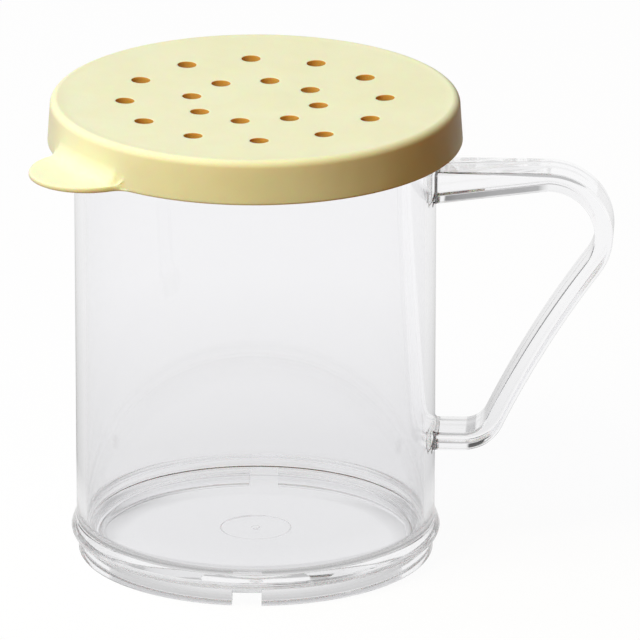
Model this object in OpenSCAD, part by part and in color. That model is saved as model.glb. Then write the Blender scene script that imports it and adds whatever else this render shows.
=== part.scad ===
// Kitchen shaker: a clear moulded cup with an integral handle and a push-on
// perforated lid with a pull tab. The foot stands on z = 0, the cup's axis is Z
// and the handle points along +X.

/* [Cup] */
// Outside diameter of the wall just above the foot bead
cup_d = 72.4; // [66:0.2:78]
// Height of the rim above the table
cup_h = 93.5; // [88:0.5:110]
// Thickness of the wall
wall_t = 2.0; // [1.6:0.1:2.4]
// Growth of the outside radius from the foot bead to the rim
wall_draft = 0.2; // [0:0.05:0.6]
// Height of the inside floor above the table
floor_z = 4.7; // [4.2:0.1:5.4]
// Thickness of the floor
floor_t = 1.9; // [1.6:0.1:2.2]
// Radius of the corner between floor and wall
floor_fillet = 1.5; // [0.8:0.1:4]

/* [Foot] */
// Outside diameter of the foot ring where it stands
foot_d = 71.8; // [68:0.2:72.2]
// Growth of the foot ring's outside radius from the bead down to the table
foot_flare = 0.6; // [0:0.1:1]
// Width of the foot ring
foot_w = 4.2; // [2:0.1:5]
// Outside diameter of the bead over the foot ring
bead_d = 74.5; // [73.5:0.1:76]
// Height of the bead's widest line
bead_z = 5.0; // [4.8:0.1:5.6]
// Radius of the bead's nose
bead_r = 1.4; // [1:0.1:1.6]
// Angle between the bead's upper flank and the wall
flank_angle = 22; // [15:1:35]
// Width of the two drain notches in the foot ring
notch_w = 6.0; // [4:0.5:10]
// Diameter of the gate recess under the floor
gate_d = 14.2; // [8:0.2:20]

/* [Rim] */
// Outside diameter of the flange that the lid snaps over
rim_d = 79.0; // [78:0.1:79.2]
// Height of the flange
rim_t = 3.2; // [2.5:0.1:4]

/* [Handle] */
// Width of the bar across the handle's plane
bar_w = 10.8; // [8:0.2:12]
// Thickness of the bar in the handle's plane
bar_t = 3.7; // [3.2:0.1:4.6]
// Radius along the bar's edges
bar_edge = 0.8; // [0.5:0.1:1.5]
// Height of the handle's top face
handle_z = 82.0; // [78:0.5:84]
// Reach of the handle from the cup's axis
handle_reach = 72.1; // [68:0.1:78]
// Radius of the upper bend at the middle of the bar
bend_upper = 11.3; // [8:0.1:13]
// Radius of the lower bend at the middle of the bar
bend_lower = 6.8; // [6:0.1:10]
// Slope of the long leg from the horizontal, from end to end
leg_angle = 59.3; // [55:0.1:65]
// Angle that the long leg turns through as it bows towards the cup
leg_turn = 10.5; // [2:0.5:14]
// Height of the middle of the lower arm
arm_lower_z = 24.8; // [20:0.1:28]
// Thickness of the upper arm at its root
root_t = 6.7; // [4.8:0.1:8]
// Radius of the hollow between the arms and the wall
root_fillet = 1.0; // [0.4:0.1:1.5]

/* [Lid] */
// Outside diameter of the lid at its lower edge
lid_d = 83.4; // [82.6:0.2:86]
// Height of the lid from its lower edge to the top of its rim
lid_h = 9.0; // [8.4:0.1:10]
// Thickness of the top plate at its middle
lid_t = 1.3; // [1.2:0.1:1.8]
// Depth of the shallow dish in the top plate
lid_dish = 1.0; // [0.4:0.1:1.2]
// Thickness of the skirt at its lower edge
skirt_t = 1.4; // [1.2:0.1:1.5]
// Draft of the skirt from top to lower edge
skirt_draft = 0.5; // [0.2:0.1:0.8]
// Radius of the lid's top edge
lid_edge = 1.0; // [0.8:0.1:2]
// Depth of the snap bead inside the skirt
snap_depth = 0.55; // [0.3:0.05:0.6]

/* [Shaker holes] */
// Diameter of each hole
hole_d = 3.8; // [2:0.1:4.5]
// Holes on the outer circle
outer_holes = 12; // [8:1:16]
// Diameter of the outer circle
outer_pcd = 52.2; // [44:0.2:60]
// Holes on the inner circle
inner_holes = 8; // [4:1:10]
// Diameter of the inner circle
inner_pcd = 26.1; // [18:0.2:34]
// Turn of both circles from the tab's direction
hole_turn = -2; // [-15:0.25:15]

/* [Pull tab] */
// Direction of the tab, from the handle and counterclockwise from above
tab_angle = 216.75; // [90:0.25:270]
// Reach of the tab from the lid's axis
tab_reach = 52.0; // [48:0.2:56]
// Radius of the tab's round end
tab_r = 11.5; // [9:0.5:14]
// Thickness of the tab at its edge
tab_t = 1.1; // [0.9:0.1:1.4]
// Radius where the tab's sides run into the skirt
tab_blend = 4.0; // [2:0.5:6]
// Radius of the hollow where the tab's top runs up the skirt
tab_rise = 3.6; // [2:0.1:4.5]

/* [Hidden] */
$fn = 96;
clear_colour = [0.86, 0.9, 0.92, 0.35];
lid_colour = [0.95, 0.93, 0.76];
overlap = 1;
wall_r = cup_d / 2;
wall_top_r = wall_r + wall_draft;
bead_c = bead_d / 2 - bead_r;
foot_r = foot_d / 2;
floor_under = floor_z - floor_t;
foot_edge = 0.4;
flank_bevel = 1;
rim_z = cup_h - rim_t;
rim_nose = rim_t / 2;
rim_bevel = 1;
wall_top_z = rim_z - rim_bevel;
draft_angle = atan(wall_draft / (wall_top_z - floor_under));
edge_steps = 5;
root_steps = 4;
wall_x = sqrt(wall_r ^ 2 - (bar_w / 2) ^ 2);
root_x = wall_r - wall_t / 2;
lid_z = cup_h + lid_t + lid_dish - lid_h;
lid_r = lid_d / 2;
skirt_in = lid_r - skirt_t;
inside_edge = 1.2;
dish_steps = [1, 0.77, 0.49, 0.2];
lip = 0.03;
snap_r = 0.8;
snap_z = lid_z + 1.1;
gate_depth = 0.4;
vestige_d = 1.6;

// Outside radius of the wall at a height.
function wall_at(z) = wall_r + wall_draft * (z - floor_under) / (wall_top_z - floor_under);

// The area between two straight lines through a corner and the arc that
// rounds it off. The lines leave the corner in directions a and b.
module corner_fill(corner, a, b, r) {
  half = (b - a) / 2;
  reach = r / tan(half);
  centre = corner + r / sin(half) * [cos(a + half), sin(a + half)];
  difference() {
    polygon([
      corner,
      corner + reach * [cos(a), sin(a)],
      centre,
      corner + reach * [cos(b), sin(b)]
    ]);
    translate(centre) circle(r = r);
  }
}

// Foot ring, widest where it stands, with its edges rounded.
module foot_profile() {
  polygon([
    [foot_r - foot_w, foot_edge],
    [foot_r, foot_edge],
    [foot_r - foot_flare, bead_z - bead_r],
    [foot_r - foot_w, floor_under + floor_t / 2]
  ]);
  translate([foot_r - foot_w + foot_edge, 0])
    square([foot_w - 2 * foot_edge, foot_edge * 2]);
  for (x = [foot_r - foot_w + foot_edge, foot_r - foot_edge])
    translate([x, foot_edge]) circle(r = foot_edge);
}

// Flange round the mouth, with a round nose for the lid to snap over.
module rim_profile() {
  nose_r = rim_d / 2 - rim_nose;
  translate([wall_top_r - wall_t, rim_z]) square([nose_r - wall_top_r + wall_t, rim_t]);
  translate([nose_r, rim_z + rim_nose]) circle(r = rim_nose);
}

// The wall from the bead over the foot to the flange. The bead has a round nose
// and a straight flank, and a bevel where the flank meets the wall.
module cup_profile() {
  inner_foot = wall_at(floor_z) - wall_t;
  nose = [bead_c, bead_z];
  flank_foot = nose + bead_r * [cos(flank_angle), sin(flank_angle)];
  rise = (flank_foot.x - wall_at(flank_foot.y)) / (tan(flank_angle) + tan(draft_angle));
  meet_z = flank_foot.y + rise;
  flank_top = [wall_at(meet_z), meet_z] - flank_bevel * [-sin(flank_angle), cos(flank_angle)];
  translate(nose) circle(r = bead_r);
  polygon([
    [wall_r - wall_t, floor_under],
    [foot_r - foot_flare, floor_under],
    [foot_r - foot_flare, bead_z - bead_r],
    [bead_c, bead_z - bead_r],
    flank_foot,
    flank_top,
    [wall_at(meet_z + flank_bevel), meet_z + flank_bevel],
    [wall_top_r, wall_top_z],
    [wall_top_r + rim_bevel, rim_z],
    [wall_top_r + rim_bevel, rim_z + rim_nose],
    [wall_top_r - wall_t, rim_z + rim_nose],
    [wall_top_r - wall_t, wall_top_z]
  ]);
  translate([0, floor_under]) square([inner_foot + wall_t / 2, floor_t]);
  corner_fill([inner_foot, floor_z], 90 - draft_angle, 180, floor_fillet);
  foot_profile();
  rim_profile();
}

// Points of the bar's section, a rectangle with round edges. x is across the
// bar in the handle's plane, y is across the handle's plane.
function bar_section(t, w) = [
  for (corner = [0 : 3], step = [0 : edge_steps])
    let (
      turn = 90 * (corner + step / edge_steps),
      x = (corner == 0 || corner == 3) ? 1 : -1,
      y = corner < 2 ? 1 : -1
    )
    [
      x * (t / 2 - bar_edge) + bar_edge * cos(turn),
      y * (w / 2 - bar_edge) + bar_edge * sin(turn)
    ]
];

// One ring of the bar round a point of the handle's plane. The normal is the
// direction, in that plane, of the bar's outer face.
function bar_ring(point, normal, t = bar_t, w = bar_w) = [
  for (q = bar_section(t, w))
    [point.x + q.x * cos(normal), q.y, point.y + q.x * sin(normal)]
];

// Rings of an arm from inside the wall outwards. The middle's height and the
// thickness go evenly from their values at the wall to those at the arm's end.
// The root swells into the wall along an arc, which starts a little off the
// wall's own direction so that the two surfaces cross cleanly. The arm's end
// can be skipped where a bend brings it.
function arm_rings(end_x, z0, z1, t0, t1, normal, skipped = 0) = [
  for (i = [-1 : root_steps + 1 - skipped])
    let (
      turn = 20 + 70 * max(i, 0) / root_steps,
      gap = i > root_steps ? end_x - wall_x : root_fillet * (1 - cos(turn)),
      swell = i > root_steps ? 0 : root_fillet * (1 - sin(turn)),
      share = gap / (end_x - wall_x),
      x = i < 0 ? root_x : wall_x + gap,
      t = t0 + (t1 - t0) * share + 2 * swell
    )
    bar_ring([x, z0 + (z1 - z0) * share], normal, t, bar_w + 2 * swell)
];

// Rings of a bend round a centre, from one direction of the outer face to
// another. A negative radius has its centre on the outer face's side.
function bend_rings(centre, radius, from, to, steps, first = 0) = [
  for (i = [first : steps])
    let (turn = from + (to - from) * i / steps)
    bar_ring(centre + radius * along(turn), turn)
];

function along(angle) = [cos(angle), sin(angle)];

function reversed(list) = [for (i = [len(list) - 1 : -1 : 0]) list[i]];

// Skin over a row of rings with the same number of points.
module skin(rings) {
  n = len(rings[0]);
  last = len(rings) - 1;
  side = [
    for (k = [0 : last - 1], i = [0 : n - 1])
      [k * n + i, k * n + (i + 1) % n, (k + 1) * n + (i + 1) % n, (k + 1) * n + i]
  ];
  caps = [[for (i = [n - 1 : -1 : 0]) i], [for (i = [0 : n - 1]) last * n + i]];
  polyhedron(points = [for (ring = rings) each ring], faces = concat(side, caps), convexity = 6);
}

// The handle leaves the wall level under the lid, thins towards the upper bend,
// slopes back to the cup in a slight bow and turns level into the lower arm.
// Both roots swell into the wall.
module handle() {
  top_normal = leg_angle - 90 - leg_turn / 2;
  foot_normal = leg_angle - 90 + leg_turn / 2;
  upper = [handle_reach, handle_z] - (bend_upper + bar_t / 2) * [1, 1];
  leg_top = upper + bend_upper * along(top_normal);
  fall = leg_top.y - arm_lower_z - bend_lower * (1 + sin(foot_normal));
  leg_foot = leg_top - fall * [1 / tan(leg_angle), 1];
  lower = leg_foot - bend_lower * along(foot_normal);
  bow_r = norm(leg_top - leg_foot) / 2 / sin(leg_turn / 2);
  bow = leg_top + bow_r * along(top_normal);
  skin(concat(
    arm_rings(upper.x, handle_z - root_t / 2, handle_z - bar_t / 2, root_t, bar_t, 90),
    bend_rings(upper, bend_upper, 90, top_normal, 20, 1),
    bend_rings(bow, -bow_r, top_normal, foot_normal, 8, 1),
    bend_rings(lower, bend_lower, foot_normal, -90, 12, 1),
    reversed(arm_rings(lower.x, arm_lower_z, arm_lower_z, bar_t, bar_t, -90, 1))
  ));
}

module cup() {
  color(clear_colour) difference() {
    union() {
      rotate_extrude() cup_profile();
      handle();
    }
    translate([-notch_w / 2, -foot_r - overlap, -overlap])
      cube([notch_w, 2 * (foot_r + overlap), floor_under + overlap]);
    translate([0, 0, floor_under - overlap])
      difference() {
        cylinder(d = gate_d, h = gate_depth + overlap);
        translate([0, 0, overlap]) cylinder(d = vestige_d, h = gate_depth);
      }
  }
}

// Plate and skirt of the lid, with a round top edge and the snap bead inside. The
// plate's top is dished, in flats whose breaks lie between the circles of holes.
module lid_profile() {
  top = lid_z + lid_h;
  top_r = lid_r - skirt_draft;
  dish_r = top_r - lid_edge;
  plate_z = top - lip - lid_dish;
  hollow = [skirt_in - skirt_draft, cup_h];
  difference() {
    union() {
      polygon([
        [0, lid_z],
        [lid_r, lid_z],
        [top_r, top - lid_edge],
        for (s = dish_steps) [s * dish_r, plate_z + lid_dish * s ^ 2],
        [0, plate_z + lid_dish * dish_steps[3] ^ 2]
      ]);
      translate([dish_r, top - lid_edge]) circle(r = lid_edge);
    }
    difference() {
      polygon([
        [0, lid_z - overlap],
        [skirt_in, lid_z - overlap],
        [skirt_in, lid_z],
        hollow,
        [0, cup_h]
      ]);
      corner_fill(hollow, 180, 270 + atan(skirt_draft / (cup_h - lid_z)), inside_edge);
      translate([skirt_in + snap_r - snap_depth, snap_z]) circle(r = snap_r);
    }
  }
}

// Outline of the lid's lower edge with the tab, whose sides run into the skirt
// along arcs.
module tab_outline() {
  tab_x = tab_reach - tab_r;
  lid_side = lid_r + tab_blend;
  tab_side = tab_r + tab_blend;
  turn = acos((lid_side ^ 2 + tab_x ^ 2 - tab_side ^ 2) / (2 * lid_side * tab_x));
  blend = lid_side * [cos(turn), sin(turn)];
  circle(r = lid_r);
  translate([tab_x, 0]) circle(r = tab_r);
  for (side = [-1, 1]) {
    centre = [blend.x, side * blend.y];
    difference() {
      polygon([[0, 0], [tab_x, 0], centre]);
      translate(centre) circle(r = tab_blend);
    }
  }
}

// Lower edge of the tab as a flat plate, with a hollow that rises to the skirt.
// A cone round the tab's own centre ends the hollow before the tab's sides.
module tab() {
  difference() {
    union() {
      linear_extrude(tab_t) tab_outline();
      intersection() {
        rotate_extrude() corner_fill([lid_r - skirt_t / 2, tab_t / 2], 0, 90, tab_rise);
        translate([tab_reach - tab_r, 0, tab_t / 2])
          cylinder(r1 = tab_r, r2 = tab_r - tab_rise, h = tab_rise);
      }
    }
    translate([0, 0, -overlap]) cylinder(r = lid_r - skirt_t / 2, h = lid_h + overlap);
  }
}

module hole_ring(count, pcd) {
  for (i = [0 : count - 1])
    rotate(i * 360 / count) translate([pcd / 2, 0, 0]) cylinder(d = hole_d, h = lid_h + overlap);
}

module lid() {
  color(lid_colour) difference() {
    union() {
      rotate_extrude() lid_profile();
      translate([0, 0, lid_z]) rotate(tab_angle) tab();
    }
    translate([0, 0, lid_z]) rotate(tab_angle + hole_turn) {
      hole_ring(outer_holes, outer_pcd);
      hole_ring(inner_holes, inner_pcd);
    }
  }
}

cup();
lid();
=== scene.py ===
import math

import bmesh
import bpy
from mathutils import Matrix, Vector


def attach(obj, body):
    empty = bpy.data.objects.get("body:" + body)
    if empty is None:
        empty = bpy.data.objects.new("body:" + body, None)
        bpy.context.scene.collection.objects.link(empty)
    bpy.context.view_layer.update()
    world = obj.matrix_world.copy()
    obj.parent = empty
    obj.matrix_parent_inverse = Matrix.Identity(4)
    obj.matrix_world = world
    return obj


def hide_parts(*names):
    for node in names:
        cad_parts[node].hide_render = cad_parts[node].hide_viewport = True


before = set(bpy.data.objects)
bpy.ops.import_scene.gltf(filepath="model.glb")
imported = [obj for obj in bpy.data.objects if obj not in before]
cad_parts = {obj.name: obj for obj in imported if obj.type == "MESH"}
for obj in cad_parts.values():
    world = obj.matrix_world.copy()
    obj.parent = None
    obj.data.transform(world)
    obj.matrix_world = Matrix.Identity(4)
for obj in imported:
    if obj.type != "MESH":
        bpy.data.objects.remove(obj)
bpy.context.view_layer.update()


# ---------------------------------------------------------------- Clear cup
# One injection-moulded shot of clear polycarbonate: a thin wall with an integral
# handle, a bead over a foot ring with two drain notches, and the round mark of
# the gate under the floor.

MM = 0.001

cup_height = 93.5
wall_radius = 36.2
wall_growth = 0.2
wall_top = 89.3
wall_thickness = 2.0
floor_top = 4.7
floor_under = 2.8
floor_corner = 4.0
rim_edge = 0.5
foot_outer = 35.9
foot_top = 35.3
foot_inner = 31.7
foot_edge = 0.4
foot_hollow = 0.4
bead_hollow = 0.2
bead_radius = 1.4
bead_centre = (35.85, 5.0)
flank_angle = math.radians(22)
flank_hollow = 5.0
flange_radius = 39.5
flange_under = 90.3
flange_nose = 1.59
flange_hollow = 1.0
gate_radius = 7.1
gate_depth = 0.4
gate_edge = 0.15
gate_pip = 0.8
gate_pip_hollow = 0.12
notch_half_width = 3.0

# The cup's skin is a grid of rows and of upright lines. A notch and a root of the
# handle reach so many lines to either side of their middle, and a root spans so many
# rows. The hollow of a root is drawn in steps.
cup_lines = 256
arc_step = math.radians(9)
notch_lines = 4
root_lines = 9
root_rows = 12
hollow_steps = 8

bar_width = 10.8
bar_thickness = 3.7
bar_edges = (0.8, 0.8, 0.6, 0.6)
bar_root = 6.7
root_hollow = 1.0
handle_top = 82.0
handle_reach = 72.1
upper_bend = 11.3
lower_bend = 6.8
leg_slope = math.radians(59.3)
leg_turn = math.radians(10.5)
lower_arm = 24.8
upper_root_rows = (72.6, 84.6)
lower_root_rows = (20.6, 29.0)
upper_arm_start = 38.4
lower_arm_end = 38.0


def unit(x, y):
    length = math.hypot(x, y)
    return x / length, y / length


def rounded_section(corners):
    """Rows (radius, height, normal outwards, normal upwards) along a section whose
    corners (radius, height, rounding) are rounded. The solid is on the left."""
    rows = []
    for i, (r, z, rounding) in enumerate(corners):
        before = unit(r - corners[i - 1][0], z - corners[i - 1][1]) if i else None
        after = None
        if i + 1 < len(corners):
            after = unit(corners[i + 1][0] - r, corners[i + 1][1] - z)
        if before is None or after is None:
            d = before or after
            rows.append((r, z, d[1], -d[0]))
            continue
        turn = math.atan2(
            before[0] * after[1] - before[1] * after[0],
            before[0] * after[0] + before[1] * after[1],
        )
        reach = rounding * math.tan(abs(turn) / 2)
        side = 1 if turn > 0 else -1
        start = math.atan2(-before[0], before[1])
        centre = (
            r - before[0] * reach - side * rounding * math.cos(start),
            z - before[1] * reach - side * rounding * math.sin(start),
        )
        steps = max(3, round(abs(turn) / arc_step))
        for k in range(steps + 1):
            a = start + turn * k / steps
            rows.append((
                centre[0] + side * rounding * math.cos(a),
                centre[1] + side * rounding * math.sin(a),
                math.cos(a), math.sin(a),
            ))
    return rows


def wall_at(z):
    return wall_radius + wall_growth * (z - floor_under) / (wall_top - floor_under)


def cup_section():
    """The cup's section from the axis under the floor, round the foot and up the
    wall, over the rim and down the inside to the axis again."""
    slope = wall_growth / (wall_top - floor_under)
    nose_low = bead_centre[1] - bead_radius
    bead_corner = bead_centre[0] + bead_radius * math.tan((math.pi / 2 + flank_angle) / 2)
    meet = nose_low + (bead_corner - wall_at(nose_low)) / (math.tan(flank_angle) + slope)
    return rounded_section([
        (0, floor_under, 0),
        (gate_pip, floor_under, gate_edge),
        (gate_pip, floor_under + gate_depth, gate_pip_hollow),
        (gate_radius, floor_under + gate_depth, gate_edge),
        (gate_radius, floor_under, gate_edge),
        (foot_inner, floor_under, foot_hollow),
        (foot_inner, 0, foot_edge),
        (foot_outer, 0, foot_edge),
        (foot_top, nose_low, bead_hollow),
        (bead_corner, nose_low, bead_radius),
        (wall_at(meet), meet, flank_hollow),
        (wall_at(flange_under), flange_under, flange_hollow),
        (flange_radius, flange_under, flange_nose),
        (flange_radius, cup_height, flange_nose),
        (wall_at(cup_height) - wall_thickness, cup_height, rim_edge),
        (wall_at(floor_top) - wall_thickness, floor_top, floor_corner),
        (0, floor_top, 0),
    ])


def spaced(a, b, steps):
    return [a + (b - a) * k / steps for k in range(steps + 1)]


def add_row(after, z):
    """A row at a height on the straight stretch between one row and the next."""
    low, high = section[after], section[after + 1]
    share = (z - low[1]) / (high[1] - low[1])
    section.insert(after + 1, (low[0] + (high[0] - low[0]) * share, z, low[2], low[3]))


def wall_row(z):
    """The row of the outer wall that is nearest to a height."""
    return min(
        range(len(section)),
        key=lambda k: abs(section[k][1] - z) + (section[k][2] < 0.9),
    )


# The foot's outer side gets a row at the notches' top. The wall's long straight
# stretch gets rows of its own, closest where the handle's roots grow out of it.
section = cup_section()
foot_side = max(
    k for k, row in enumerate(section)
    if row[0] > foot_inner and row[1] < floor_under - 0.01
)
add_row(foot_side, floor_under)
long_gap = max(range(len(section) - 1), key=lambda k: section[k + 1][1] - section[k][1])
low, high = section[long_gap], section[long_gap + 1]
heights = (
    spaced(low[1], lower_root_rows[0], 4)[1:-1]
    + spaced(*lower_root_rows, root_rows)
    + spaced(lower_root_rows[1], upper_root_rows[0], 12)[1:-1]
    + spaced(*upper_root_rows, root_rows)
    + spaced(upper_root_rows[1], high[1], 3)[1:-1]
)
for z in reversed(heights):
    add_row(long_gap, z)
lower_first, upper_first = wall_row(lower_root_rows[0]), wall_row(upper_root_rows[0])
foot_first = max(
    k for k, row in enumerate(section[:long_gap])
    if row[0] < foot_inner and row[3] < -0.999
)
foot_last = foot_side + 1

cup = bmesh.new()
cup_normals = {}
cup_flats = set()


def cup_point(x, y, z, normal):
    v = cup.verts.new((x * MM, y * MM, z * MM))
    cup_normals[v] = Vector(normal).normalized()
    return v


def line_angle(line):
    return 2 * math.pi * line / cup_lines


def notch_side(line):
    """-1 or 1 on the two lines along a notch's sides, 0 inside it, None outside."""
    for centre in (cup_lines // 4, 3 * cup_lines // 4):
        away = (line - centre + cup_lines // 2) % cup_lines - cup_lines // 2
        if abs(away) < notch_lines:
            return 0
        if abs(away) == notch_lines:
            return math.copysign(1, math.cos(line_angle(line)))
    return None


def revolved_point(row, line):
    r, z, out, up = section[row]
    a = line_angle(line)
    side = notch_side(line)
    if side and foot_first <= row <= foot_last:
        x = side * notch_half_width
        y = math.copysign(math.sqrt(r * r - x * x), math.sin(a))
        a = math.atan2(y, x)
    normal = (out * math.cos(a), out * math.sin(a), up)
    return cup_point(r * math.cos(a), r * math.sin(a), z, normal)


def face_in_root(row, line):
    """Is the face up and onwards from this point inside a root's patch of wall?"""
    away = (line + cup_lines // 2) % cup_lines - cup_lines // 2
    return -root_lines <= away < root_lines and any(
        first <= row < first + root_rows for first in (lower_first, upper_first)
    )


def point_in_root(row, line):
    """Is this point inside a root's patch of wall, and not on its border?"""
    away = (line + cup_lines // 2) % cup_lines - cup_lines // 2
    return abs(away) < root_lines and any(
        first < row < first + root_rows for first in (lower_first, upper_first)
    )


under_pole = cup_point(0, 0, floor_under, (0, 0, -1))
top_pole = cup_point(0, 0, floor_top, (0, 0, 1))
grid = {}
for row in range(1, len(section) - 1):
    for line in range(cup_lines):
        if point_in_root(row, line):
            continue
        if notch_side(line) == 0 and foot_first < row < foot_last:
            continue
        grid[row, line] = revolved_point(row, line)

for line in range(cup_lines):
    onwards = (line + 1) % cup_lines
    cup.faces.new((under_pole, grid[1, onwards], grid[1, line]))
    last = len(section) - 2
    cup.faces.new((top_pole, grid[last, line], grid[last, onwards]))
    in_notch = 0 in (notch_side(line), notch_side(onwards))
    for row in range(1, last):
        if face_in_root(row, line) or (in_notch and foot_first <= row < foot_last):
            continue
        cup.faces.new((
            grid[row, line], grid[row, onwards],
            grid[row + 1, onwards], grid[row + 1, line],
        ))
    if in_notch:
        cup.faces.new((
            grid[foot_first, line], grid[foot_first, onwards],
            grid[foot_last, onwards], grid[foot_last, line],
        ))
    if notch_side(line):
        side = [grid[row, line] for row in range(foot_first, foot_last + 1)]
        cup_flats.add(cup.faces.new(side))


def bar_section(thickness, width):
    """Points (across, outwards, normal across, normal outwards) of the handle's bar,
    from one corner's middle round to it again: eight steps to each round edge, ten
    along the wide faces and four along the narrow ones."""
    points = []
    signs = ((1, 1), (-1, 1), (-1, -1), (1, -1))

    def edge_point(corner, angle):
        edge, (across, outwards) = bar_edges[corner], signs[corner]
        return (
            across * (width / 2 - edge) + edge * math.cos(angle),
            outwards * (thickness / 2 - edge) + edge * math.sin(angle),
        )

    for corner, flat_steps in enumerate((10, 4, 10, 4)):
        following = (corner + 1) % 4
        for k in range(5):
            a = math.radians(45 + 90 * corner + 45 * k / 4)
            points.append((*edge_point(corner, a), math.cos(a), math.sin(a)))
        face = math.radians(90 + 90 * corner)
        start, end = edge_point(corner, face), edge_point(following, face)
        for k in range(1, flat_steps):
            share = k / flat_steps
            points.append((
                start[0] + (end[0] - start[0]) * share,
                start[1] + (end[1] - start[1]) * share,
                math.cos(face), math.sin(face),
            ))
        for k in range(4):
            a = face + math.radians(45 * k / 4)
            points.append((*edge_point(following, a), math.cos(a), math.sin(a)))
    return points


def root_border(first_row, side):
    """The patch of wall round a root as a loop of grid points, in the bar's order."""
    half = root_rows // 2
    top = first_row + (root_rows if side > 0 else 0)
    bottom = first_row + (0 if side > 0 else root_rows)
    loop = [(root_lines - k, top) for k in range(2 * root_lines)]
    loop += [(-root_lines, top - side * k) for k in range(root_rows)]
    loop += [(-root_lines + k, bottom) for k in range(2 * root_lines)]
    loop += [(root_lines, bottom + side * k) for k in range(root_rows)]
    return [
        (grid[row, line % cup_lines], line_angle(line), section[row][1])
        for line, row in loop
    ]


def join(a, b):
    """A strip of faces between two rings with the same number of points."""
    for k in range(len(a)):
        n = (k + 1) % len(a)
        cup.faces.new((a[k], a[n], b[n], b[k]))


def grow_root(first_row, side, middle, thickness):
    """Rings from the patch's border over the wall and up the hollow to the arm. The
    first few lie on the wall, between the border and the hollow's foot."""
    border = root_border(first_row, side)
    outline = bar_section(thickness, bar_width)
    rings = [[v for v, _, _ in border]]

    def on_wall(y, z):
        return math.sqrt(wall_at(z) ** 2 - y * y)

    feet = []
    for u, v, nu, nv in outline:
        y, z = u + nu * root_hollow, middle + side * (v + nv * root_hollow)
        feet.append((math.asin(y / wall_at(z)), z))
    for share in (0.3, 0.6, 0.85):
        ring = []
        for (_, a0, z0), (a1, z1) in zip(border, feet):
            a, z = a0 + (a1 - a0) * share, z0 + (z1 - z0) * share
            r = wall_at(z)
            normal = (math.cos(a), math.sin(a), 0)
            ring.append(cup_point(r * math.cos(a), r * math.sin(a), z, normal))
        rings.append(ring)
    for turn in spaced(0, math.pi / 2, hollow_steps):
        away, gap = root_hollow * (1 - math.sin(turn)), root_hollow * (1 - math.cos(turn))
        ring = []
        for u, v, nu, nv in outline:
            y, z = u + nu * away, middle + side * (v + nv * away)
            x = on_wall(y, z)
            wall = Vector((x, y, 0)).normalized() * math.cos(turn)
            arm = Vector((0, nu, side * nv)) * math.sin(turn)
            ring.append(cup_point(x + gap, y, z, wall + arm))
        rings.append(ring)
    for a, b in zip(rings, rings[1:]):
        join(a, b)
    return rings[-1]


def along(angle, length):
    return Vector((math.cos(angle), math.sin(angle))) * length


# The handle's line: level under the lid, round the upper bend, down the leg, which
# bows a little towards the cup, and round the lower bend to the level lower arm. A
# station is a point of it, with the outer face's direction and the bar's thickness.
top_normal = leg_slope - math.pi / 2 - leg_turn / 2
foot_normal = leg_slope - math.pi / 2 + leg_turn / 2
upper_corner = Vector((handle_reach, handle_top))
upper_centre = upper_corner - Vector((1, 1)) * (upper_bend + bar_thickness / 2)
leg_top = upper_centre + along(top_normal, upper_bend)
leg_fall = leg_top.y - lower_arm - lower_bend * (1 + math.sin(foot_normal))
leg_foot = leg_top - Vector((1 / math.tan(leg_slope), 1)) * leg_fall
lower_centre = leg_foot - along(foot_normal, lower_bend)
bow = (leg_top - leg_foot).length / 2 / math.sin(leg_turn / 2)
bow_centre = leg_top + along(top_normal, bow)

stations = []
for x in spaced(upper_arm_start, upper_centre.x, 10)[:-1]:
    share = (x - wall_radius) / (upper_centre.x - wall_radius)
    t = bar_root + (bar_thickness - bar_root) * share
    stations.append((x, handle_top - t / 2, math.pi / 2, t))
for a in spaced(math.pi / 2, top_normal, 30):
    stations.append((*(upper_centre + along(a, upper_bend)), a, bar_thickness))
for a in spaced(top_normal, foot_normal, 14)[1:-1]:
    stations.append((*(bow_centre - along(a, bow)), a, bar_thickness))
for a in spaced(foot_normal, -math.pi / 2, 16):
    stations.append((*(lower_centre + along(a, lower_bend)), a, bar_thickness))
for x in spaced(lower_centre.x, lower_arm_end, 4)[1:]:
    stations.append((x, lower_arm, -math.pi / 2, bar_thickness))

root_share = root_hollow / (upper_centre.x - wall_radius)
upper_root_t = bar_root + (bar_thickness - bar_root) * root_share
rings = [grow_root(upper_first, 1, handle_top - upper_root_t / 2, upper_root_t)]
shapes = [None]
for x, z, a, t in stations:
    shape = bar_section(t, bar_width)
    cos, sin = math.cos(a), math.sin(a)
    rings.append([
        cup_point(x + v * cos, u, z + v * sin, (nv * cos, nu, nv * sin))
        for u, v, nu, nv in shape
    ])
    shapes.append((shape, a))
rings.append(grow_root(lower_first, -1, lower_arm, bar_thickness))
for a, b in zip(rings, rings[1:]):
    join(a, b)
# Along the handle the normals follow the faces' own lie, which is truer round the
# bends than the section's plane.
for k in range(1, len(rings) - 1):
    shape, a = shapes[k]
    for before, here, after, (_, _, nu, nv) in zip(rings[k - 1], rings[k], rings[k + 1], shape):
        round_it = Vector((nu * math.cos(a), -nv, nu * math.sin(a)))
        normal = (after.co - before.co).cross(round_it).normalized()
        cup_normals[here] = normal if normal.dot(cup_normals[here]) > 0 else -normal


def finished_mesh(build, name, normals=None, flats=()):
    """The mesh object of a build, smooth, with the given normal at each point. Faces
    among the flats keep their own."""
    bmesh.ops.recalc_face_normals(build, faces=build.faces)
    for face in build.faces:
        face.smooth = True
    build.verts.index_update()
    build.faces.index_update()
    flat = {face.index for face in flats}
    by_index = {v.index: n for v, n in (normals or {}).items()}
    mesh = bpy.data.meshes.new(name)
    build.to_mesh(mesh)
    build.free()
    if by_index:
        mesh.normals_split_custom_set([
            tuple(face.normal if face.index in flat else by_index[v])
            for face in mesh.polygons
            for v in face.vertices
        ])
    made = bpy.data.objects.new(name, mesh)
    bpy.context.scene.collection.objects.link(made)
    return made


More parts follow.
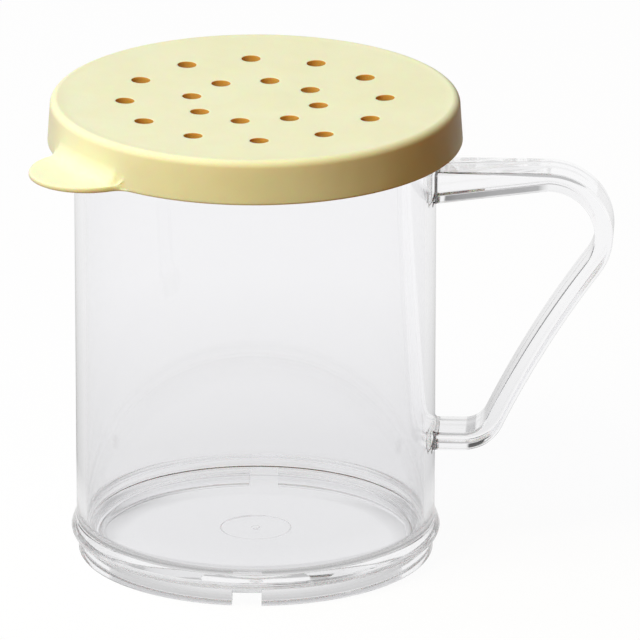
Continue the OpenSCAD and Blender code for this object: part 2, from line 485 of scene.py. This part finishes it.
def linear(hex_colour):
    """An sRGB hex colour as linear red, green, blue and an alpha of 1."""
    parts = [int(hex_colour[k:k + 2], 16) / 255 for k in (1, 3, 5)]
    return (*(c / 12.92 if c <= 0.04045 else ((c + 0.055) / 1.055) ** 2.4 for c in parts), 1)


def add_node(tree, kind, inputs=None, **settings):
    """Adds a node, sets its options, and gives its inputs values or links."""
    made = tree.nodes.new(kind)
    for name, value in settings.items():
        setattr(made, name, value)
    for socket, value in (inputs or {}).items():
        if isinstance(value, bpy.types.NodeSocket):
            tree.links.new(value, made.inputs[socket])
        else:
            made.inputs[socket].default_value = value
    return made


def new_material(name):
    material = bpy.data.materials.new(name)
    material.use_nodes = True
    return material, material.node_tree, material.node_tree.nodes["Principled BSDF"]


# The waves' size is across the wall; upwards they are about three times as long.
flow_size = 14
flow_depth = 0.03
wipe_size = 5


def moulded_polycarbonate():
    """Clear polycarbonate from a polished mould. It bends light strongly, so edges
    draw dark lines. The face waves a little where the melt ran up and shrank, and
    its gloss isn't quite even."""
    material, tree, surface = new_material("clear_moulded_polycarbonate")
    place = add_node(tree, "ShaderNodeTexCoord")
    upright = add_node(tree, "ShaderNodeMapping", {
        "Vector": place.outputs["Object"], "Scale": (1, 1, 0.3),
    })
    flow = add_node(tree, "ShaderNodeTexNoise", {
        "Vector": upright.outputs[0], "Scale": 1 / (flow_size * MM),
        "Detail": 1.0, "Roughness": 0.4,
    })
    waves = add_node(tree, "ShaderNodeBump", {
        "Height": flow.outputs["Fac"], "Strength": 1.0, "Distance": flow_depth * MM,
    })
    wiped = add_node(tree, "ShaderNodeTexNoise", {
        "Vector": place.outputs["Object"], "Scale": 1 / (wipe_size * MM), "Detail": 3.0,
    })
    gloss = add_node(tree, "ShaderNodeMapRange", {
        "Value": wiped.outputs["Fac"], "From Min": 0.45, "From Max": 0.75,
        "To Min": 0.008, "To Max": 0.02,
    })
    surface.inputs["Base Color"].default_value = linear("#FBFBFC")
    surface.inputs["Transmission Weight"].default_value = 1
    surface.inputs["IOR"].default_value = 1.585
    tree.links.new(gloss.outputs[0], surface.inputs["Roughness"])
    tree.links.new(waves.outputs[0], surface.inputs["Normal"])
    return material


clear_cup = finished_mesh(cup, "clear_cup", cup_normals, cup_flats)
clear_cup.data.materials.append(moulded_polycarbonate())
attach(clear_cup, "cup")
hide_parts("cup")


# ---------------------------------------------------------------- Push-on lid
# One injection-moulded shot of pale yellow polyethylene. Two circles of holes go
# through its plate, and a tab grows out of the skirt's lower edge for a thumb.

lid_low = 86.8
lid_top = 95.8
lid_under = 93.5
lid_dish = 1.0
dish_radius = 40.15
dish_tilt = 2.85
lid_radius = 41.7
lid_top_radius = 41.2
lid_edge = 1.5
skirt_edge = 0.35
skirt_inner = 40.3
hollow_radius = 39.8
hollow_corner = 1.2
snap_radius = 0.8
snap_centre = (40.55, 87.9)
hole_radius = 1.9
hole_edge = 0.12
hole_border = 0.3
hole_circles = ((12, 26.1), (8, 13.05))
hole_direction = math.radians(214.75)
tab_direction = math.radians(216.75)
tab_reach = 52.0
tab_round = 11.5
tab_blend = 4.0
tab_thickness = 1.1
tab_edge = 0.45
tab_rise = 3.4
tab_zone = math.radians(26)
blend_top = 4.7
mouth_edge = 0.2
above_snap = (skirt_inner - 0.16, 89.2)
below_hollow = (hollow_radius + 0.1, lid_under - hollow_corner - 0.05)

# The lid's skin is drawn on upright lines, which stand this far apart along the tab's
# outline, and are this many round the rest of the skirt.
outline_step = 0.5
skirt_lines = 200


def tab_outline_radius(a):
    """Distance from the lid's axis to the outline of skirt and tab, in a direction
    measured from the tab's middle."""
    centre = tab_reach - tab_round
    lid_side, tab_side = lid_radius + tab_blend, tab_round + tab_blend
    turn = math.acos(
        (lid_side ** 2 + centre ** 2 - tab_side ** 2) / (2 * lid_side * centre)
    )
    a = abs(a)
    if a >= turn:
        return lid_radius
    on_tab = math.atan2(
        lid_side * math.sin(turn) * tab_round / tab_side,
        centre + (lid_side * math.cos(turn) - centre) * tab_round / tab_side,
    )
    if a <= on_tab:
        return centre * math.cos(a) + math.sqrt(tab_round ** 2 - (centre * math.sin(a)) ** 2)
    ahead = lid_side * math.cos(turn - a)
    return ahead - math.sqrt(tab_blend ** 2 - (lid_side * math.sin(turn - a)) ** 2)


def lid_directions():
    """Directions of the lid's lines: about half a millimetre apart along the tab's
    outline, and wider round the rest of the skirt."""
    fine_steps = 4000
    fine = spaced(0, tab_zone, fine_steps)
    lengths = [0.0]
    for a, b in zip(fine, fine[1:]):
        ra, rb = tab_outline_radius(a), tab_outline_radius(b)
        lengths.append(lengths[-1] + math.hypot(rb - ra, ra * (b - a)))
    steps = round(lengths[-1] / outline_step)
    half, k = [], 0
    for step in range(steps + 1):
        goal = lengths[-1] * step / steps
        while k < fine_steps - 1 and lengths[k + 1] < goal:
            k += 1
        half.append(fine[k])
    half[-1] = tab_zone
    rest = spaced(tab_zone, 2 * math.pi - tab_zone, skirt_lines)[1:-1]
    return half + rest + [-a for a in reversed(half[1:])]


def smooth_step(x):
    """From 0 to 1 with a level start and end, as x goes from 0 to 1."""
    x = min(max(x, 0), 1)
    return x * x * (3 - 2 * x)


def plate_top(r):
    """Height of the plate's top, a shallow dish, at a distance from the axis."""
    return lid_top - lid_dish * (1 - (r / dish_radius) ** 2)


def skirt_radius(z):
    """Outer radius of the skirt, which leans in upwards, at a height."""
    share = (z - lid_low) / (lid_top - lid_edge - lid_low)
    return lid_radius + (lid_top_radius - lid_radius) * share


def arc(centre, radius, start, end, steps):
    """Points round a centre from one angle in degrees to another, both included."""
    return [
        (centre[0] + radius * math.cos(a), centre[1] + radius * math.sin(a))
        for a in spaced(math.radians(start), math.radians(end), steps)
    ]


def skirt_rows(width):
    """Outer rows (radius, height) of the skirt's lower half. Where the tab is wide,
    they run down a hollow, out over the tab and round its edge. Towards its ends the
    hollow and the edge shrink with its width."""
    rise = min(tab_rise, 0.3 + width)
    reach = min(rise, width * 0.8)
    edge = min(tab_edge, width / 3)
    tab = []
    for a in spaced(0, math.pi / 2, 9):
        tab.append((reach * (1 - math.cos(a)), tab_thickness + rise * (1 - math.sin(a))))
    for share in (0.25, 0.5, 0.75):
        tab.append((reach + (width - edge - reach) * share, tab_thickness))
    tab += arc((width - edge, tab_thickness - edge), edge, 90, 0, 5)
    plain = [(0, h) for h in spaced(tab_thickness + tab_rise, tab_edge + 0.05, len(tab) - 1)]
    share = smooth_step(width / 1.2)
    rows = []
    for (a, h), (pa, ph) in zip(tab, plain):
        a, h = pa + (a - pa) * share, ph + (h - ph) * share
        rows.append((skirt_radius(lid_low + h) + a, lid_low + h))
    corner = (lid_radius + width - skirt_edge, lid_low + skirt_edge)
    return rows + arc(corner, skirt_edge, 0, -90, 5)[1:]


# The plate's top has rows round its rim at the first radii. Inside them it is filled
# in rings between the second ones, which miss the holes.
rim_rows = (33.5, 36, 38, 39.5)
dish_breaks = (31.0, 19.5, 8.0)


def lid_rows(width):
    """All rows (radius, height) of the lid from the plate's top outside the holes,
    over the edge, down outside, and up inside to the plate's underside."""
    rows = [(r, plate_top(r)) for r in (dish_breaks[0], *rim_rows)]
    edge_centre = (lid_top_radius - lid_edge, lid_top - lid_edge)
    rows += arc(edge_centre, lid_edge, 90 + dish_tilt, 0, 10)
    upper_skirt = spaced(lid_top - lid_edge, lid_low + blend_top, 4)[1:]
    rows += [(skirt_radius(z), z) for z in upper_skirt] + skirt_rows(width)
    if width > 1:
        under_tab = [lid_radius + (width - skirt_edge) * share for share in (0.6, 0.2)]
    else:
        under_tab = [lid_radius - 0.5, lid_radius - 0.7]
    rows += [(r, lid_low) for r in under_tab]
    rows += [(skirt_inner + mouth_edge, lid_low), (skirt_inner, lid_low + mouth_edge)]
    rows += arc(snap_centre, snap_radius, 215, 145, 8) + [above_snap, below_hollow]
    hollow_centre = (hollow_radius - hollow_corner, lid_under - hollow_corner)
    rows += arc(hollow_centre, hollow_corner, 0, 90, 8)[1:]
    rows.append((hollow_radius - hollow_corner - 0.3, lid_under))
    return rows


lid = bmesh.new()
columns = []
for a in lid_directions():
    width = tab_outline_radius(a) - lid_radius
    b = a + tab_direction
    columns.append([
        lid.verts.new((r * math.cos(b) * MM, r * math.sin(b) * MM, z * MM))
        for r, z in lid_rows(width)
    ])
for here, onwards in zip(columns, columns[1:] + columns[:1]):
    for k in range(len(here) - 1):
        lid.faces.new((here[k], here[k + 1], onwards[k + 1], onwards[k]))


def edges_round(loop):
    """The edges along a closed loop of points; missing ones are made."""
    return [
        lid.edges.get((a, b)) or lid.edges.new((a, b))
        for a, b in zip(loop, loop[1:] + loop[:1])
    ]


def lid_circle(x, y, r, count, height):
    """Points round a circle, at the height that a function of the distance from the
    lid's axis gives."""
    points = []
    for t in spaced(0, 2 * math.pi, count)[:-1]:
        px, py = x + r * math.cos(t), y + r * math.sin(t)
        points.append(lid.verts.new((px * MM, py * MM, height(math.hypot(px, py)) * MM)))
    return points


def close_plate(edges):
    """Fills the plate between the edges of its circles."""
    bmesh.ops.triangle_fill(lid, use_beauty=True, edges=edges, normal=(0, 0, 1))


plate_edges = [edges_round([column[0] for column in columns])]
for r, count in zip(dish_breaks[1:], (160, 72)):
    plate_edges.append(edges_round(lid_circle(0, 0, r, count, plate_top)))
under_edges = edges_round([column[-1] for column in columns])
hole_steps = 40
hole_rounding = [
    (hole_radius + hole_edge * (1 - math.sin(t)), hole_edge * (1 - math.cos(t)))
    for t in spaced(0, math.pi / 2, 4)
]
hole_rows = [(hole_radius + hole_edge + hole_border, 0)] + hole_rounding
for ring, (count, circle) in enumerate(hole_circles):
    ring_edges = []
    for hole in range(count):
        b = hole_direction + 2 * math.pi * hole / count
        x, y = circle * math.cos(b), circle * math.sin(b)
        loops = [
            lid_circle(x, y, r, hole_steps, lambda away: plate_top(away) - drop)
            for r, drop in hole_rows
        ]
        loops += [
            lid_circle(x, y, r, hole_steps, lambda away: lid_under + drop)
            for r, drop in reversed(hole_rows)
        ]
        for upper, lower in zip(loops, loops[1:]):
            for k in range(hole_steps):
                n = (k + 1) % hole_steps
                lid.faces.new((upper[k], upper[n], lower[n], lower[k]))
        ring_edges += edges_round(loops[0])
        under_edges += edges_round(loops[-1])
    close_plate(plate_edges[ring] + ring_edges + plate_edges[ring + 1])
close_plate(plate_edges[-1])
close_plate(under_edges)

# Real blast grain is about 0.1 mm; it is drawn at 0.4 mm, so that it shows.
grain_size = 0.4
grain_depth = 0.03
sink_size = 11
sink_depth = 0.25
# Within this radius, in millimetres, the steep hole walls carry the painted amber shade.
painted_shade_radius = 30


def moulded_polyethylene():
    """Pale yellow polyethylene from a lightly blasted mould: waxy and satin, with a
    grain, a face that sinks and swells a little, a colour that isn't quite even, and
    light going a short way into it."""
    material, tree, surface = new_material("pale_yellow_moulded_polyethylene")
    place = add_node(tree, "ShaderNodeTexCoord")
    grain = add_node(tree, "ShaderNodeTexNoise", {
        "Vector": place.outputs["Object"], "Scale": 1 / (grain_size * MM), "Detail": 2.0,
    })
    sink = add_node(tree, "ShaderNodeTexNoise", {
        "Vector": place.outputs["Object"], "Scale": 1 / (sink_size * MM), "Detail": 2.0,
    })
    hollows = add_node(tree, "ShaderNodeBump", {
        "Height": sink.outputs["Fac"], "Strength": 1.0, "Distance": sink_depth * MM,
    })
    relief = add_node(tree, "ShaderNodeBump", {
        "Height": grain.outputs["Fac"], "Strength": 0.6, "Distance": grain_depth * MM,
        "Normal": hollows.outputs[0],
    })
    even = add_node(tree, "ShaderNodeMapRange", {
        "Value": sink.outputs["Fac"], "From Min": 0.35, "From Max": 0.65,
        "To Min": 0.0, "To Max": 0.3,
    })
    colour = add_node(tree, "ShaderNodeMix", {
        0: even.outputs[0], 6: linear("#F1F4CF"), 7: linear("#EAEBBF"),
    }, data_type="RGBA")
    # Painted shade: inside the holes' circle the steep walls are painted amber, a guess at
    # what light does that turns often between yellow faces.
    facing = add_node(tree, "ShaderNodeSeparateXYZ", {0: place.outputs["Normal"]})
    slope = add_node(tree, "ShaderNodeMath", {0: facing.outputs["Z"]}, operation="ABSOLUTE")
    steep = add_node(tree, "ShaderNodeMapRange", {
        "Value": slope.outputs[0], "From Min": 0.4, "From Max": 0.85,
        "To Min": 1.0, "To Max": 0.0,
    })
    level = add_node(tree, "ShaderNodeVectorMath", {
        0: place.outputs["Object"], 1: (1, 1, 0),
    }, operation="MULTIPLY")
    out = add_node(tree, "ShaderNodeVectorMath", {0: level.outputs[0]}, operation="LENGTH")
    within = add_node(tree, "ShaderNodeMath", {
        0: out.outputs["Value"], 1: painted_shade_radius * MM,
    }, operation="LESS_THAN")
    wall = add_node(tree, "ShaderNodeMath", {
        0: steep.outputs[0], 1: within.outputs[0],
    }, operation="MULTIPLY")
    colour = add_node(tree, "ShaderNodeMix", {
        0: wall.outputs[0], 6: colour.outputs[2], 7: linear("#CC9A48"),
    }, data_type="RGBA")
    satin = add_node(tree, "ShaderNodeMapRange", {
        "Value": grain.outputs["Fac"], "From Min": 0.3, "From Max": 0.7,
        "To Min": 0.38, "To Max": 0.5,
    })
    tree.links.new(colour.outputs[2], surface.inputs["Base Color"])
    tree.links.new(satin.outputs[0], surface.inputs["Roughness"])
    tree.links.new(relief.outputs[0], surface.inputs["Normal"])
    surface.inputs["IOR"].default_value = 1.51
    surface.inputs["Specular IOR Level"].default_value = 0.12
    surface.inputs["Subsurface Weight"].default_value = 0.45
    surface.inputs["Subsurface Radius"].default_value = (0.0022, 0.0007, 0.0002)
    surface.inputs["Subsurface Scale"].default_value = 1.0
    return material


shaker_lid = finished_mesh(lid, "shaker_lid")
shaker_lid.data.set_sharp_from_angle(angle=math.radians(40))
shaker_lid.data.materials.append(moulded_polyethylene())
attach(shaker_lid, "lid")
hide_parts("lid")


# ---------------------------------------------------------------- Studio
# A white table in a bright white room, with three darker things behind it. A large
# softbox stands to the upper left and a cooler one beside it, and what else falls on
# the object is the warm light of the room.

floor_half = 6.0
floor_height = -0.00005
table_glow = 0.96
# Painted shadow in the table's glow, as seen through the cup: its brightness at
# distances from the cup's axis, in metres. It dips sharply under the foot ring, a painted shadow
# of the ring, which keeps the light off.
painted_shadow_rings = (
    (0.0, 0.86), (0.030, 0.88), (0.0325, 0.32), (0.037, 0.52),
    (0.05, 0.82), (0.08, 0.88), (0.17, 1.0),
)

floor_mesh = bpy.data.meshes.new("studio_floor")
floor_corners = ((-1, -1), (1, -1), (1, 1), (-1, 1))
floor_mesh.from_pydata(
    [(x * floor_half, y * floor_half, floor_height) for x, y in floor_corners],
    [],
    [(0, 1, 2, 3)],
)
floor = bpy.data.objects.new("studio_floor", floor_mesh)
bpy.context.scene.collection.objects.link(floor)
floor_material, tree, surface = new_material("white_table")
surface.inputs["Base Color"].default_value = linear("#FFFFFF")
surface.inputs["Roughness"].default_value = 0.9
surface.inputs["Specular IOR Level"].default_value = 0
path = add_node(tree, "ShaderNodeLightPath")
place = add_node(tree, "ShaderNodeNewGeometry")
line = add_node(tree, "ShaderNodeSeparateXYZ", {0: place.outputs["Position"]})
away = add_node(tree, "ShaderNodeVectorMath", {0: place.outputs["Position"]}, operation="LENGTH")
# The painted shadow, as a ramp over the distance from the cup's axis.
near = add_node(tree, "ShaderNodeValToRGB", {"Fac": away.outputs["Value"]})
for k, (at, grey) in enumerate(painted_shadow_rings):
    stop = near.color_ramp.elements[k] if k < 2 else near.color_ramp.elements.new(at)
    stop.position, stop.color = at, (grey, grey, grey, 1)

# Soft steps of painted light and shade in the table's glow: measured along what, start,
# end, level before and level after. The last two are the table as the cup mirrors it.
table_steps = {}
for name, value, start, end, low, high in (
    ("rear", line.outputs["Y"], 0.0, 0.03, 0.0, 0.85),
    ("front", line.outputs["Y"], -1.5, -0.3, 0.8, 1.0),
    ("mirrored", line.outputs["Y"], 0.05, 0.3, 0.42, 0.75),
    ("beside", away.outputs["Value"], 0.05, 0.09, 0.85, 0.0),
):
    table_steps[name] = add_node(tree, "ShaderNodeMapRange", {
        "Value": value, "From Min": start, "From Max": end, "To Min": low, "To Max": high,
    }, interpolation_type="SMOOTHSTEP").outputs[0]
level = add_node(tree, "ShaderNodeMath", {
    0: near.outputs["Color"], 1: table_steps["rear"],
}, operation="MAXIMUM")
level = add_node(tree, "ShaderNodeMath", {
    0: level.outputs[0], 1: table_steps["front"],
}, operation="MULTIPLY")
mirrored = add_node(tree, "ShaderNodeMath", {
    0: table_steps["mirrored"], 1: table_steps["beside"],
}, operation="MAXIMUM")
level = add_node(tree, "ShaderNodeMix", {
    0: path.outputs["Is Transmission Ray"], 2: mirrored.outputs[0], 3: level.outputs[0],
}, data_type="FLOAT")
level = add_node(tree, "ShaderNodeMix", {
    0: path.outputs["Is Camera Ray"], 2: level.outputs[0], 3: 1.0,
}, data_type="FLOAT")
glow = add_node(tree, "ShaderNodeEmission", {"Color": (1, 1, 1, 1), "Strength": level.outputs[0]})

# The glow is what is seen of the table, straight, through the cup or mirrored in it; seen
# straight it is plain white, and through the cup or mirrored it carries the painted shadow, light
# and shade.
# The light that the table throws back on matt faces is dim and brown.
seen = add_node(tree, "ShaderNodeMath", {
    0: path.outputs["Is Camera Ray"], 1: path.outputs["Is Transmission Ray"],
}, operation="MAXIMUM")
seen = add_node(tree, "ShaderNodeMath", {
    0: seen.outputs[0], 1: path.outputs["Is Glossy Ray"],
}, operation="MAXIMUM")
seen = add_node(tree, "ShaderNodeMath", {
    0: seen.outputs[0], 1: table_glow,
}, operation="MULTIPLY")
white = add_node(tree, "ShaderNodeMixShader", {
    0: seen.outputs[0], 1: surface.outputs[0], 2: glow.outputs[0],
})
dim = add_node(tree, "ShaderNodeBsdfDiffuse", {"Color": linear("#8A5A2C")})
table = add_node(tree, "ShaderNodeMixShader", {
    0: path.outputs["Is Diffuse Ray"], 1: white.outputs[0], 2: dim.outputs[0],
})
tree.links.new(table.outputs[0], tree.nodes["Material Output"].inputs["Surface"])
floor_material.cycles.emission_sampling = "NONE"
floor_mesh.materials.append(floor_material)

world = bpy.data.worlds.new("studio_room")
bpy.context.scene.world = world
world.use_nodes = True
world.cycles.sampling_method = "NONE"
tree = world.node_tree
background = tree.nodes["Background"]
path = add_node(tree, "ShaderNodeLightPath")
direction = add_node(tree, "ShaderNodeTexCoord")
split = add_node(tree, "ShaderNodeSeparateXYZ", {0: direction.outputs["Generated"]})
aside = add_node(tree, "ShaderNodeMath", {0: split.outputs["X"]}, operation="ABSOLUTE")
along_x, along_y, along_z = split.outputs

# Three darker things stand in the room: a dark strip left of the middle just over
# the horizon, a low one at the far left and a half-dark one high up, all of them
# behind the table. Each is a product of soft steps over the direction: along what,
# start, end, level before and level after.
strip = (
    (along_z, 0.12, 0.16, 0.0, 1.0), (along_z, 0.315, 0.34, 1.0, 0.0),
    (along_x, -0.14, -0.08, 1.0, 0.0), (along_x, -0.5, -0.4, 0.0, 1.0),
)
low_far_left = ((along_z, 0.16, 0.24, 1.0, 0.0), (along_x, -0.58, -0.5, 0.85, 0.0))
high_up = ((along_z, 0.36, 0.42, 0.0, 0.5), (aside.outputs[0], 0.62, 0.72, 1.0, 0.0))
behind = ((along_y, -0.2, 0.1, 0.0, 1.0),)
products = []
for soft_steps in (strip, low_far_left, high_up, behind):
    product = 1.0
    for value, start, end, low, high in soft_steps:
        step = add_node(tree, "ShaderNodeMapRange", {
            "Value": value, "From Min": start, "From Max": end, "To Min": low, "To Max": high,
        }, interpolation_type="SMOOTHSTEP")
        product = add_node(tree, "ShaderNodeMath", {
            0: step.outputs[0], 1: product,
        }, operation="MULTIPLY").outputs[0]
    products.append(product)
dark = add_node(tree, "ShaderNodeMath", {0: products[0], 1: products[1]}, operation="MAXIMUM")
dark = add_node(tree, "ShaderNodeMath", {
    0: dark.outputs[0], 1: products[2],
}, operation="MAXIMUM")
dark = add_node(tree, "ShaderNodeMath", {
    0: dark.outputs[0], 1: products[3],
}, operation="MULTIPLY")
room = add_node(tree, "ShaderNodeMapRange", {
    "Value": dark.outputs[0], "To Min": 0.95, "To Max": 0.06,
})

# The room's light on matt faces is warm and comes mostly from the front left. Seen
# straight, the room is plain white.
across = add_node(tree, "ShaderNodeMath", {0: along_x, 1: along_y}, operation="ADD")
ambient = add_node(tree, "ShaderNodeMapRange", {
    "Value": across.outputs[0], "From Min": -1.2, "From Max": 1.2,
    "To Min": 0.34, "To Max": 0.01,
})
lit = add_node(tree, "ShaderNodeMix", {
    0: path.outputs["Is Diffuse Ray"], 2: room.outputs[0], 3: ambient.outputs[0],
}, data_type="FLOAT")
level = add_node(tree, "ShaderNodeMix", {
    0: path.outputs["Is Camera Ray"], 2: lit.outputs[0], 3: 1.0,
}, data_type="FLOAT")
tree.links.new(level.outputs[0], background.inputs["Strength"])
tint = add_node(tree, "ShaderNodeMix", {
    0: path.outputs["Is Diffuse Ray"], 6: (1, 1, 1, 1), 7: linear("#FFC263"),
}, data_type="RGBA")
tree.links.new(tint.outputs[2], background.inputs["Color"])


softbox_side = 0.5
softbox_aim = Vector((0, 0, 0.06))


def softbox(name, place, watts, colour):
    """A square lamp that isn't mirrored in the plastic or seen through it."""
    lamp = bpy.data.lights.new(name, "AREA")
    lamp.color = colour
    lamp.shape = "RECTANGLE"
    lamp.size = lamp.size_y = softbox_side
    lamp.energy = watts
    made = bpy.data.objects.new(name, lamp)
    made.location = place
    made.rotation_euler = (softbox_aim - Vector(place)).to_track_quat("-Z", "Y").to_euler()
    made.visible_glossy = False
    made.visible_transmission = False
    bpy.context.scene.collection.objects.link(made)


softbox("key_softbox", (-0.41, -0.45, 0.84), 9.2, (0.98, 0.965, 0.77))
softbox("sky_softbox", (-0.62, 0.18, 0.83), 4.4, (0.35, 0.5, 1.0))

camera_data = bpy.data.cameras.new("camera")
camera = bpy.data.objects.new("camera", camera_data)
bpy.context.scene.collection.objects.link(camera)
bpy.context.scene.camera = camera
camera_data.sensor_width = 36
camera_data.lens = 860
camera_data.clip_start = 0.1
camera_data.clip_end = 50
camera_azimuth = math.radians(2.75)
camera_elevation = math.radians(19.2)
camera_distance = 3.081
target = Vector((12.995, 0.634, 48.33)) * MM
back = Vector((
    math.sin(camera_azimuth) * math.cos(camera_elevation),
    -math.cos(camera_azimuth) * math.cos(camera_elevation),
    math.sin(camera_elevation),
))
camera.location = target + back * camera_distance
camera.rotation_euler = (-back).to_track_quat("-Z", "Y").to_euler()
bpy.context.scene.view_settings.view_transform = "Standard"

# Light runs along inside the cup's floor and wall like a pipe before it comes out,
# so each ray is followed through many turns.
tracing = bpy.context.scene.cycles
tracing.max_bounces = 64
tracing.glossy_bounces = 64
tracing.transmission_bounces = 64
